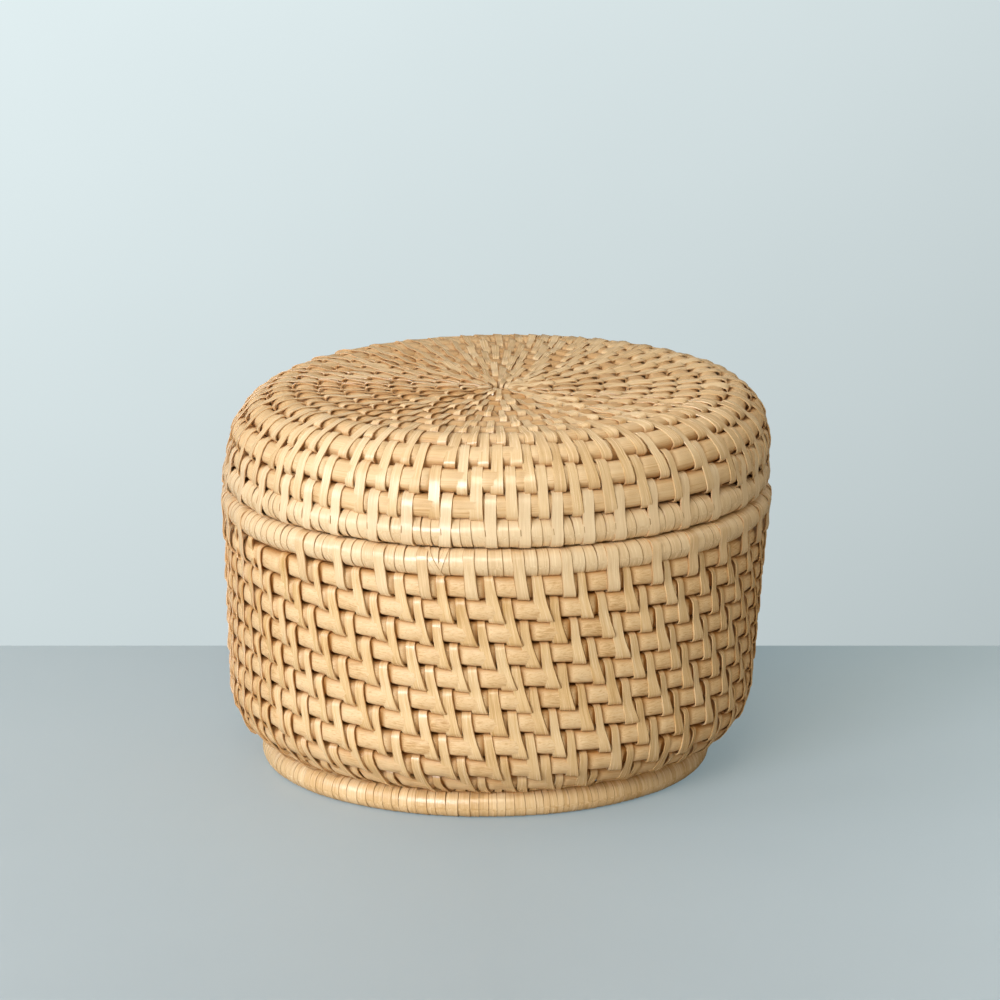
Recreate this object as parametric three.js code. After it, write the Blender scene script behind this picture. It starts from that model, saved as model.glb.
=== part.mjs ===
// Round lidded box of coiled cane, in millimetres, +Z up, standing on z = 0 with its axis on Z.
// One cane winds out from the middle of the base, turns the corner and climbs the wall. The lid is
// wound the same way, upside down. Hoops wrapped with flat cane peel finish the mouth, the foot and
// the lid, and a double hoop inside the lid drops into the mouth and keeps the lid in place.

import * as THREE from "three";

// Cane and peel
const boxCane = 7.7; // thickness of the cane coiled into the box
const lidCane = 8; // thickness of the stouter cane coiled into the lid
const peel = 0.8; // thickness of the flat binding peel, which passes between two courses

// Hoops, each a cane inside a close winding of peel
const rimCane = 7.8;
const lidRimCane = 8.7;
const footCane = 6.6;
const seatCane = 5.4;
const windingEase = 0.3; // room between a hoop and the winding round it
const windingSlit = 0.6; // width of the slit where the turns of a winding meet the coil they are sewn to
const seated = 0.3; // what is left between two pieces that bear on each other

// Box
const boxHeight = 104.5; // table to the top of the rim
const mouthRadius = 96.4; // centre line of the rim
const baseFlat = 73; // radius of the flat of the base, out to where its corner starts
const baseCorner = 19.6; // radius of the corner between base and wall
const footOutset = 5.8; // how far out from the flat of the base the foot ring lies
const boxEye = 5.2; // centre line of the innermost turn of the base
const boxTurnEnd = -Math.PI / 3; // where on the wall the last full turn of its cane ends

// Lid
const lidInset = 1.1; // how far in from the box's rim the lid's side stands
const lidSide = 1.3; // height of the straight side, from the lid's rim up to its shoulder
const shoulderIn = 22; // how far the shoulder between crown and side reaches in from the side
const shoulderUp = 20.5; // and how far up it reaches
const shoulderRoundShare = 0.83; // 1 makes it a quarter of an ellipse, and less makes it squarer
const lidEye = 5.8; // centre line of the innermost turn of the crown
const lidTurnEnd = (4 * Math.PI) / 3; // where on the side the last full turn of its cane ends
const seatPlay = 1; // all round, between the box's rim and the hoop that drops inside it

// Fineness of the faces
const caneSides = 6;
const windingSides = 8;
const hoopSteps = 32;
const turnSteps = 24; // steps in a full turn of a coil
const eyeSteps = 12; // steps in a turn close to the eye
const eyeTurns = 3; // turns that are close to the eye
const shoulderSteps = 24;
const tipShare = 0.14; // how thick a coil's tapered end is, as a share of its cane
const apartTurnsShare = 0.5; // places on a coil this far apart along it are neighbours, as turns
const neighbourTurnsShare = 1.5; // and these are past the neighbouring course

// Colours
const caneColour = 0xc9a06c;
const peelColour = 0xe0bf8a;
const hoopColour = 0xb98f5c;

// Across a wrapped hoop, from its centre line to the outside of the peel
const wrapped = (cane) => cane / 2 + windingEase + peel;

const rimOut = wrapped(rimCane);
const lidRimOut = wrapped(lidRimCane);
const footOut = wrapped(footCane);
const seatOut = wrapped(seatCane);

// Centre lines of the foot ring and of the lid's rim and side
const footRadius = baseFlat + footOutset;
const lidRadius = mouthRadius - lidInset;

// Heights of the centre lines. The base bears on the foot ring, which lies under its corner.
const footLevel = footOut;
const footReach = footOut / Math.cos(Math.PI / windingSides);
const cornerToFoot = baseCorner + boxCane / 2 + seated + footReach;
const baseLevel = footLevel + Math.sqrt(cornerToFoot ** 2 - footOutset ** 2) - baseCorner;
const rimLevel = boxHeight - rimOut;
const lidRimLevel = boxHeight + seated + lidRimOut;
const lidSideEnd = lidRimLevel + lidRimOut + seated;
const crownLevel = lidSideEnd + lidSide + shoulderUp;

// A regular outline round (0, 0) with flat sides at the given distance, one of them facing up. It runs
// anticlockwise from the left end of that side.
function flatSided(reach, sides) {
  const corner = reach / Math.cos(Math.PI / sides);
  return Array.from({ length: sides }, (_, i) => {
    const turn = Math.PI / 2 + ((2 * i + 1) * Math.PI) / sides;
    return new THREE.Vector2(corner * Math.cos(turn), corner * Math.sin(turn));
  });
}

// The winding's section: a closed letter C, with its slit in the middle of the side that faces up
function slitSleeve(inside, outside) {
  const half = windingSlit / 2;
  return [
    new THREE.Vector2(-half, outside),
    ...flatSided(outside, windingSides),
    new THREE.Vector2(half, outside),
    new THREE.Vector2(half, inside),
    ...flatSided(inside, caneSides).reverse(),
    new THREE.Vector2(-half, inside),
  ];
}

// Turns a closed outline round the Z axis. It runs anticlockwise, x out from the axis and y up.
function ring(outline, radius, level) {
  const points = outline.map((p) => new THREE.Vector2(radius + p.x, p.y));
  points.push(points[0].clone());
  const shape = new THREE.LatheGeometry(points, hoopSteps);
  shape.rotateX(Math.PI / 2);
  shape.translate(0, 0, level);
  return shape;
}

// A closed tube through rings of points, capped at both ends
function tube(rings, mirrored) {
  const sides = rings[0].length;
  const faces = [];
  const face = (a, b, c) => faces.push(...(mirrored ? [a, c, b] : [a, b, c]));
  for (let i = 0; i + 1 < rings.length; i++) {
    for (let j = 0; j < sides; j++) {
      const next = (j + 1) % sides;
      const here = i * sides;
      const there = here + sides;
      face(here + j, here + next, there + j);
      face(here + next, there + next, there + j);
    }
  }
  const last = (rings.length - 1) * sides;
  for (let j = 1; j + 1 < sides; j++) {
    face(0, j + 1, j);
    face(last, last + j, last + j + 1);
  }
  const points = rings.flat().flatMap((p) => [p.x, p.y, p.z]);
  const geometry = new THREE.BufferGeometry();
  geometry.setAttribute("position", new THREE.Float32BufferAttribute(points, 3));
  geometry.setIndex(faces);
  return geometry;
}

// Where a coil's centre line is, and how thick the cane is, a given number of turns from the eye.
// The courses lie a peel's thickness apart along the profile. Over the last turn the cane is shaved
// away as the course below it climbs, so that the rim on top of it sits level.
function coilPlan(profile, cane, eye) {
  const pitch = cane + peel;
  const length = profile.getLength();
  const fullTurns = (length - cane / 2 - eye) / pitch;
  const shavedTurns = (cane * (1 - tipShare)) / pitch;
  const at = (turns) => {
    const shaved = Math.max(turns - fullTurns, 0);
    const along = eye + pitch * (turns - shaved / 2);
    const place = profile.getPointAt(along / length);
    const ahead = profile.getTangentAt(along / length);
    return { place, ahead, half: (cane - pitch * shaved) / 2 };
  };
  return { at, fullTurns, turns: fullTurns + shavedTurns };
}

// Turn numbers at which a coil gets a ring of points: fewer close to the eye
function coilStops(plan) {
  const stops = [];
  for (let turns = 0; turns < plan.turns; ) {
    stops.push(turns);
    const steps = turns < eyeTurns ? eyeSteps : turnSteps;
    turns = (Math.round(turns * steps) + 1) / steps;
  }
  const lastStep = plan.turns - stops.at(-1);
  if (lastStep < 1 / turnSteps / 2) stops.pop();
  return [...stops, plan.turns];
}

// The coiled cane. Its sections lie in planes through the Z axis. Each has a flat side inwards and
// outwards, and a corner towards each course beside it. The last full turn ends at the given angle, and
// hand is 1 where the coil runs anticlockwise seen from above, else -1.
function coiledCane(name, profile, cane, eye, turnEnd, hand) {
  const plan = coilPlan(profile, cane, eye);
  const toSide = Math.cos(Math.PI / caneSides);
  const rings = coilStops(plan).map((turns) => {
    const { place, ahead, half } = plan.at(turns);
    const angle = turnEnd + hand * 2 * Math.PI * (turns - plan.fullTurns);
    return Array.from({ length: caneSides }, (_, i) => {
      const round = (i * 2 * Math.PI) / caneSides;
      const along = half * Math.cos(round);
      const across = (half * Math.sin(round)) / toSide;
      const out = place.x + along * ahead.x + across * ahead.y;
      const up = place.y + along * ahead.y - across * ahead.x;
      return new THREE.Vector3(out * Math.cos(angle), out * Math.sin(angle), up);
    });
  });
  console.log(
    `${name}: ${plan.turns.toFixed(2)} turns, least gap to itself ${leastGap(rings).toFixed(2)} mm`,
  );
  return tube(rings, hand < 0);
}

// The least distance between neighbouring courses of a coil, measured on the tube's corners and on
// points between them
function leastGap(rings) {
  const between = (a, b) => a.clone().lerp(b, 0.5);
  const samples = rings.map((points, i) => {
    const round = points.flatMap((p, j) => [p, between(p, points[(j + 1) % points.length])]);
    const after = rings[i + 1];
    return after ? [...round, ...points.map((p, j) => between(p, after[j]))] : round;
  });
  let least = Infinity;
  for (let i = 0; i < samples.length; i++) {
    const past = Math.min(samples.length, i + turnSteps * neighbourTurnsShare);
    for (let k = i + eyeSteps * apartTurnsShare; k < past; k++) {
      for (const a of samples[i]) {
        for (const b of samples[k]) least = Math.min(least, a.distanceToSquared(b));
      }
    }
  }
  return Math.sqrt(least);
}

// From the middle of the base out to the corner, round it and up the wall, to just under the rim
function boxProfile() {
  const rim = new THREE.Vector2(mouthRadius, rimLevel);
  const corner = new THREE.Vector2(baseFlat, baseLevel + baseCorner);
  const toRim = rim.clone().sub(corner);
  const lean = toRim.angle() - Math.acos(baseCorner / toRim.length());
  const wall = new THREE.Vector2(-Math.sin(lean), Math.cos(lean));
  const end = rim.clone().addScaledVector(wall, -rimOut - seated);
  const profile = new THREE.Path();
  profile.moveTo(0, baseLevel);
  profile.lineTo(corner.x, baseLevel);
  profile.absarc(corner.x, corner.y, baseCorner, -Math.PI / 2, lean, false);
  profile.lineTo(end.x, end.y);
  return profile;
}

// From the middle of the crown out to the shoulder, round it and down the side, to just over the rim
function lidProfile() {
  const profile = new THREE.Path();
  profile.moveTo(0, crownLevel);
  for (let i = 0; i <= shoulderSteps; i++) {
    const turn = (i * Math.PI) / 2 / shoulderSteps;
    const out = shoulderIn * Math.sin(turn) ** shoulderRoundShare;
    const up = shoulderUp * Math.cos(turn) ** shoulderRoundShare;
    profile.lineTo(lidRadius - shoulderIn + out, crownLevel - shoulderUp + up);
  }
  profile.lineTo(lidRadius, lidSideEnd);
  return profile;
}

const boxCoil = () => coiledCane("box_coil", boxProfile(), boxCane, boxEye, boxTurnEnd, 1);
const lidCoil = () => coiledCane("lid_coil", lidProfile(), lidCane, lidEye, lidTurnEnd, -1);

// A hoop and the winding round it. The winding's slit faces the coil that the hoop is sewn to.
function wrappedHoop(name, cane, radius, level, slitUp) {
  const sleeve = slitSleeve(cane / 2 + windingEase, wrapped(cane));
  const turned = slitUp ? sleeve : sleeve.map((p) => new THREE.Vector2(-p.x, -p.y));
  return [
    piece(`${name}_hoop`, ring(flatSided(cane / 2, caneSides), radius, level), hoopColour, 0.7),
    piece(`${name}_winding`, ring(turned, radius, level), peelColour, 0.45),
  ];
}

// Two hoops inside the lid's rim. The upper one is sewn to that rim, and the lower one, sewn to the
// upper, drops into the mouth.
function seatHoops() {
  const upperRadius = lidRadius - lidRimOut - seated - seatOut;
  const lowerRadius = mouthRadius - rimOut - seatPlay - seatOut;
  const lowerLevel = lidRimLevel - 2 * seatOut - seated;
  return [
    ...wrappedHoop("seat_upper", seatCane, upperRadius, lidRimLevel, true),
    ...wrappedHoop("seat_lower", seatCane, lowerRadius, lowerLevel, true),
  ];
}

function piece(name, geometry, colour, roughness) {
  const material = new THREE.MeshStandardMaterial({ color: colour, roughness, metalness: 0 });
  const mesh = new THREE.Mesh(geometry, material);
  mesh.name = name;
  return mesh;
}

function box() {
  const group = new THREE.Group();
  group.add(
    piece("box_coil", boxCoil(), caneColour, 0.65),
    ...wrappedHoop("rim", rimCane, mouthRadius, rimLevel, false),
    ...wrappedHoop("foot", footCane, footRadius, footLevel, true),
  );
  return group;
}

function lid() {
  const group = new THREE.Group();
  group.add(
    piece("lid_coil", lidCoil(), caneColour, 0.65),
    ...wrappedHoop("lid_rim", lidRimCane, lidRadius, lidRimLevel, true),
    ...seatHoops(),
  );
  return group;
}

const lidded = new THREE.Group();
lidded.add(box(), lid());

export default lidded;
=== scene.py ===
import math
import random

import bpy
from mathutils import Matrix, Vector


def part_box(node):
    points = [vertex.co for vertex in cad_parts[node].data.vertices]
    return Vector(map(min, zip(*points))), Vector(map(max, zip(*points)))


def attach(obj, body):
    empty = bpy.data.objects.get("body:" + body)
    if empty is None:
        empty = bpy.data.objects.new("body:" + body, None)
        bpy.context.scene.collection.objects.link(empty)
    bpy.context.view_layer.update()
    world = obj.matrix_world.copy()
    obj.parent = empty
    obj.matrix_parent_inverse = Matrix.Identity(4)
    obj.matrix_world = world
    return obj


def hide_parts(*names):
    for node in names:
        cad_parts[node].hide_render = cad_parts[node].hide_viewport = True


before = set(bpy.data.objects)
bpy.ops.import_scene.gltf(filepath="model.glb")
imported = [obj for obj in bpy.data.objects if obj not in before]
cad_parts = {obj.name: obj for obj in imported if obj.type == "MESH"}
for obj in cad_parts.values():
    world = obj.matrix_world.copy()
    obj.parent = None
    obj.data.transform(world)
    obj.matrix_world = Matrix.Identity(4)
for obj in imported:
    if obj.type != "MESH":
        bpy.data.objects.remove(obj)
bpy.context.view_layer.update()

mm = 0.001


# Camera, at the photograph's distance, height and tilt
camera = {"place": (0.0014, -2.0, 0.6135), "tiltDown": 14.47, "lens": 201.4, "sensor": 36}

cameraData = bpy.data.cameras.new("camera")
cameraData.lens = camera["lens"]
cameraData.sensor_width = camera["sensor"]
cameraObject = bpy.data.objects.new("camera", cameraData)
cameraObject.location = camera["place"]
cameraObject.rotation_euler = (math.radians(90 - camera["tiltDown"]), 0, 0)
bpy.context.scene.collection.objects.link(cameraObject)
bpy.context.scene.camera = cameraObject
bpy.context.scene.view_settings.view_transform = "Standard"


# Node trees: sums are written as sums, and every value becomes a node
class Wire:
    def __init__(self, tree, socket):
        self.tree = tree
        self.socket = socket

    def __neg__(self):
        return self.tree.maths("MULTIPLY", self, -1.0)


def sumOf(operation, turnedRound=False):
    def write(wire, other):
        return wire.tree.maths(operation, *((other, wire) if turnedRound else (wire, other)))
    return write


for sign, operation in (("add", "ADD"), ("sub", "SUBTRACT"), ("mul", "MULTIPLY"), ("truediv", "DIVIDE")):
    setattr(Wire, f"__{sign}__", sumOf(operation))
    setattr(Wire, f"__r{sign}__", sumOf(operation, turnedRound=True))
Wire.__pow__ = sumOf("POWER")


class Tree:
    def __init__(self, nodeTree):
        self.nodeTree = nodeTree

    def add(self, kind, inputs=(), **settings):
        node = self.nodeTree.nodes.new(kind)
        for name, value in settings.items():
            setattr(node, name, value)
        for name, value in dict(inputs).items():
            self.feed(node.inputs[name], value)
        return node

    def feed(self, socket, value):
        if isinstance(value, Wire):
            self.nodeTree.links.new(value.socket, socket)
        elif isinstance(value, bpy.types.NodeSocket):
            self.nodeTree.links.new(value, socket)
        else:
            socket.default_value = value

    def out(self, node, name):
        return Wire(self, node.outputs[name])

    def maths(self, operation, *values):
        return self.out(self.add("ShaderNodeMath", dict(enumerate(values)), operation=operation), 0)

    def cosine(self, value):
        return self.maths("COSINE", value)

    def sine(self, value):
        return self.maths("SINE", value)

    def blend(self, low, high, share):
        return low + (high - low) * share

    def atLeast(self, value, least=0.0):
        return self.maths("MAXIMUM", value, least)

    def within(self, value, least=0.0, most=1.0):
        return self.maths("MINIMUM", self.maths("MAXIMUM", value, least), most)

    def vector(self, x, y, z):
        return self.out(self.add("ShaderNodeCombineXYZ", {0: x, 1: y, 2: z}), 0)

    def split(self, vector):
        return [Wire(self, socket) for socket in self.add("ShaderNodeSeparateXYZ", {0: vector}).outputs]

    def ramp(self, value, *stops):
        node = self.add("ShaderNodeValToRGB", {0: value})
        elements = node.color_ramp.elements
        while len(elements) < len(stops):
            elements.new(0.5)
        for element, (place, colour) in zip(elements, stops):
            element.position = place
            element.color = (*colour, 1)
        return self.out(node, "Color")

    def mix(self, share, first, second):
        node = self.add("ShaderNodeMix", {"Factor": share, 6: first, 7: second}, data_type="RGBA")
        return self.out(node, 2)

    def mixShader(self, share, first, second):
        return self.out(self.add("ShaderNodeMixShader", {0: share, 1: first, 2: second}), 0)

    def noise(self, vector, scale, detail=2.0, rough=0.5, part="Fac"):
        given = {"Vector": vector, "Scale": scale, "Detail": detail, "Roughness": rough}
        return self.out(self.add("ShaderNodeTexNoise", given), part)


class ShapeTree(Tree):
    def __init__(self, name, objects, floats, ints=()):
        super().__init__(bpy.data.node_groups.new(name, "GeometryNodeTree"))
        face = self.nodeTree.interface
        inputs = {"Geometry": ("Geometry",), "Object": objects, "Float": (*floats, *handInputs),
                  "Int": ints, "Material": ("Material",)}
        for kind, labels in inputs.items():
            for label in labels:
                face.new_socket(label, in_out="INPUT", socket_type="NodeSocket" + kind)
        face.new_socket("Geometry", in_out="OUTPUT", socket_type="NodeSocketGeometry")
        self.entry = self.add("NodeGroupInput")

    def given(self, label):
        return self.out(self.entry, label)

    def named(self, name):
        node = self.add("GeometryNodeInputNamedAttribute", {"Name": name}, data_type="FLOAT")
        return self.out(node, "Attribute")

    def place(self):
        return self.out(self.add("GeometryNodeInputPosition"), "Position")

    def copies(self, points, shape):
        copied = self.add("GeometryNodeInstanceOnPoints", {"Points": points, "Instance": shape})
        return self.out(self.add("GeometryNodeRealizeInstances", {0: copied.outputs[0]}), "Geometry")

    def shapeOf(self, label):
        return self.out(self.add("GeometryNodeObjectInfo", {"Object": self.given(label)}), "Geometry")

    # Where a length along the profile is: distance from the axis, height, and which way is outwards
    def onProfile(self, length):
        given = {"Curves": self.shapeOf("Profile"), "Length": length}
        node = self.add("GeometryNodeSampleCurve", given, mode="LENGTH", use_all_curves=True)
        x, _, z = self.split(node.outputs["Position"])
        aheadX, _, aheadZ = self.split(node.outputs["Tangent"])
        x = x + self.maths("MINIMUM", length, 0.0)  # a strip of the first turn reaches over the axis
        return x, z, aheadX, aheadZ

    def moved(self, geometry, place):
        node = self.add("GeometryNodeSetPosition", {"Geometry": geometry, "Position": place})
        return self.out(node, "Geometry")

    # Writes on the mesh what its material reads: a place along and across the strand, and other marks
    def marked(self, geometry, strand, **marks):
        for name, value in {"strand": self.vector(*strand), **marks}.items():
            node = self.add("GeometryNodeStoreNamedAttribute", domain="POINT",
                            data_type="FLOAT_VECTOR" if name == "strand" else "FLOAT")
            for socket, given in (("Geometry", geometry), ("Name", name), ("Value", value)):
                self.feed(node.inputs[socket], given)
            geometry = self.out(node, "Geometry")
        return geometry

    # Turned round the axis, with the small unevenness of work done by hand
    def round(self, radius, angle, height):
        flat = self.vector(radius * self.cosine(angle), radius * self.sine(angle), height)
        wander = self.noise(flat, self.given("Wander scale"), 1.0, 0.5, "Color")
        byX, byY, byZ = self.split(wander)
        amount = self.given("Wander")
        x, y, z = self.split(flat)
        over = height - self.given("Lean from")
        offAxis = self.atLeast(1.0 - radius / eyeReach)  # the eye is not quite in the middle
        clear = self.maths("MINIMUM", height / standingHeight, 1.0)  # what stands on the floor stays level
        return self.vector(
            x + (byX - 0.5) * amount + over * self.given("Lean") + offAxis * self.given("Eye aside"),
            y + (byY - 0.5) * amount - offAxis * self.given("Eye ahead"),
            z + (byZ - 0.5) * amount * clear + over * x * self.given("Tip"),
        )

    def end(self, geometry):
        smooth = self.add("GeometryNodeSetShadeSmooth", {"Geometry": geometry}).outputs[0]
        given = {"Geometry": smooth, "Material": self.given("Material")}
        self.add("NodeGroupOutput", {0: self.add("GeometryNodeSetMaterial", given).outputs[0]})


eyeReach = 75 * mm  # how far from the axis the lid's courses are drawn towards its eye
standingHeight = 12 * mm
nearestAxis = 4 * mm  # inside this radius a strip turns no faster
handInputs = ("Wander", "Wander scale", "Lean", "Lean from", "Tip", "Eye aside", "Eye ahead")


# Puts a tree on a mesh, and keeps the plain mesh that it makes
def grow(name, tree, mesh, settings):
    holder = bpy.data.objects.new(name, mesh)
    bpy.context.scene.collection.objects.link(holder)
    modifier = holder.modifiers.new(name, "NODES")
    modifier.node_group = tree.nodeTree
    sockets = {s.name: s.identifier for s in tree.nodeTree.interface.items_tree if s.in_out == "INPUT"}
    for label, value in settings.items():
        modifier[sockets[label]] = value
    bpy.context.view_layer.update()
    grown = holder.evaluated_get(bpy.context.evaluated_depsgraph_get())
    made = bpy.data.meshes.new_from_object(grown)
    made.name = name
    holder.modifiers.remove(modifier)
    holder.data = made
    turnOut(made)
    return holder


# Turns a closed mesh the right way out where its volume comes out negative
def turnOut(mesh):
    mesh.calc_loop_triangles()
    volume = 0.0
    for triangle in mesh.loop_triangles:
        a, b, c = (mesh.vertices[i].co for i in triangle.vertices)
        volume += a.dot(b.cross(c))
    if volume < 0:
        mesh.flip_normals()


def newMesh(name, points, faces=()):
    mesh = bpy.data.meshes.new(name)
    mesh.from_pydata(points, [], list(faces))
    return mesh


# A mesh of points at the origin, one for each strip, that carry where the strip goes
def listMesh(name, rows):
    mesh = newMesh(name, [(0, 0, 0)] * len(rows))
    for key in rows[0]:
        values = mesh.attributes.new(key, "FLOAT", "POINT")
        values.data.foreach_set("value", [row[key] for row in rows])
    return mesh


# An object that a tree reads, and that stays out of the scene
def hiddenObject(name, data):
    return bpy.data.objects.new(name, data)


# Peel: a flat strip with rounded edges, thin as it is cut
peel = {"thick": 0.62 * mm, "edgeShare": 0.44, "edgeDrop": 0.45, "wrapDrop": 0.8, "wrapTilt": 0.17 * mm}


def acrossStrip(edgeDrop):
    share = peel["edgeShare"]
    return [(-0.5, edgeDrop), (-share, 1.0), (share, 1.0), (0.5, edgeDrop), (0.0, 0.0)]


# One turn of strip, closed on itself. Its rows are (place along, side), and its section is across
def stripTemplate(name, rows, edgeDrop):
    section = acrossStrip(edgeDrop)
    sides = len(section)
    points = [(x, along, z) for along, _ in rows for x, z in section]
    faces = []
    for i in range(len(rows)):
        for j in range(sides):
            a, b = i * sides, ((i + 1) % len(rows)) * sides
            k = (j + 1) % sides
            faces.append((a + j, a + k, b + k, b + j))
    mesh = newMesh(name, points, faces)
    side = mesh.attributes.new("side", "FLOAT", "POINT")
    side.data.foreach_set("value", [s for _, s in rows for _ in section])
    crisp = mesh.attributes.new("sharp_edge", "BOOLEAN", "EDGE")
    crisp.data.foreach_set("value", [
        a % sides == b % sides and a % sides in (1, 2) for a, b in (edge.vertices for edge in mesh.edges)
    ])
    return hiddenObject(name, mesh)


outRows = [1.0, 0.97, 0.9, 0.76, 0.5, 0.2, 0.0, -0.2, -0.5, -0.76, -0.9, -0.97, -1.0]
backRows = [-0.8, 0.0, 0.8]
stitchStrip = stripTemplate(
    "stitchStrip", [(x, 1.0) for x in outRows] + [(x, -1.0) for x in backRows], peel["edgeDrop"]
)
wrapSteps = 18
wrapStrip = stripTemplate("wrapStrip", [(i / wrapSteps, 1.0) for i in range(wrapSteps)], peel["wrapDrop"])


# Stitches: each is a loop of peel that holds a course to the one before it. It comes out narrow and
# deep at its upper end, and spreads out over the lower course, where its right edge stands up.
def stitchTree():
    tree = ShapeTree("bindCourses", ("Profile", "Strip"),
                     ("Outward", "Thick", "Dip", "Tilt", "Fresh", "Dark ends"))
    shapes = tree.copies(tree.given("Geometry"), tree.shapeOf("Strip"))
    across, along, up = tree.split(tree.place())
    side = tree.named("side")
    upper, lower = tree.named("upper"), tree.named("lower")  # lengths along the profile at the two ends
    thick = tree.given("Thick")
    half = (upper - lower) / 2.0
    length = (upper + lower) / 2.0 + along * (half + tree.maths("SIGN", half) * up * thick)
    radius, height, aheadX, aheadZ = tree.onProfile(length)
    down = (1.0 - along) / 2.0
    width = tree.blend(tree.named("widthUpper"), tree.named("widthLower"), down ** 1.4)
    lean = tree.blend(down, down * down, tree.named("sweep"))
    aside = tree.named("aside") * lean + across * width
    pastMiddle = tree.atLeast(tree.maths("ABSOLUTE", along) * 2.0 - 1.0)
    blunt = tree.named("blunt")
    full = tree.atLeast(1.0 - pastMiddle ** blunt) ** (1.0 / blunt)
    dip = tree.atLeast(1.0 - (along * 2.5) ** 2.0)
    rise = tree.blend(tree.named("riseUpper"), tree.named("riseLower"), down)
    stand = (across + 0.5) * down * down * tree.given("Tilt") + across * tree.named("roll")
    stand = stand - (0.5 - across) * down ** 1.6 * tree.named("buried")  # its left edge lies in the cane
    lift = (rise + up * thick + stand) * full - dip * dip * tree.given("Dip")
    out = lift * side * tree.given("Outward")
    radius = radius + out * aheadZ
    height = height - out * aheadX
    angle = tree.named("angle") + aside / tree.atLeast(radius, nearestAxis)
    strand = (across * width / mm, along * half / mm + side * 40.0, tree.named("tone") * 90.0)
    # Marks that the material turns into painted shade, at the ends where the stitch dives under a course
    # and along its edges, and into a paler colour that stands in for sheen
    shapes = tree.marked(shapes, strand, deep=(1.0 - full) * tree.given("Dark ends"), edge=across * 2.0,
                         fresh=tree.given("Fresh"))
    tree.end(tree.moved(shapes, tree.round(radius, angle, height)))
    return tree


# Wraps: each is a turn of peel round a hoop
def wrapTree():
    tree = ShapeTree("wrapHoop", ("Strip",),
                     ("Radius", "Level", "Inside", "Thick", "Rise", "Tilt", "Fresh"))
    shapes = tree.copies(tree.given("Geometry"), tree.shapeOf("Strip"))
    across, along, up = tree.split(tree.place())
    turn = along * math.tau
    thick = tree.given("Thick")
    out = tree.given("Inside") + tree.named("proud") + up * thick + across * tree.given("Tilt")
    radius = tree.given("Radius") + out * tree.cosine(turn)
    height = tree.given("Level") + out * tree.sine(turn)
    height = height + tree.atLeast(tree.sine(turn)) * tree.given("Rise")
    width = tree.named("width")
    aside = across * width - tree.sine(turn) * tree.named("slant")
    angle = tree.named("angle") + aside / tree.given("Radius")
    strand = (across * width / mm, turn * out / mm, tree.named("tone") * 90.0)
    # Marks that the material turns into painted shade in the line along both edges of a wrap, and into a
    # paler colour that stands in for sheen
    shapes = tree.marked(shapes, strand, deep=0.0, edge=across * 2.0 * tree.named("lines"), crisp=1.0,
                         fresh=tree.given("Fresh"))
    tree.end(tree.moved(shapes, tree.round(radius, angle, height)))
    return tree


# Canes: the coiled ones follow the profile outwards as they go round, and the hoops stay level.
# Each stitch presses a groove into its cane, so the rings of the mesh stand closer there.
caneSides = 14
ringsBetween = 10  # from one groove to the next
gathered = 0.75  # 0 spaces them evenly
grooveReach = 0.08  # half a groove's width, as a share of the way to the next
grooveEdge = 11.0  # how steep its sides are
pinchFrom = (11 * mm, 20 * mm)  # heights between which the pinch sets in, above the foot ring
# painted shade over the cane on the flat of a coil, where it shows between the stitches
flatShade = 0.38  # how dark the cane is on the flat of a coil


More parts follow.
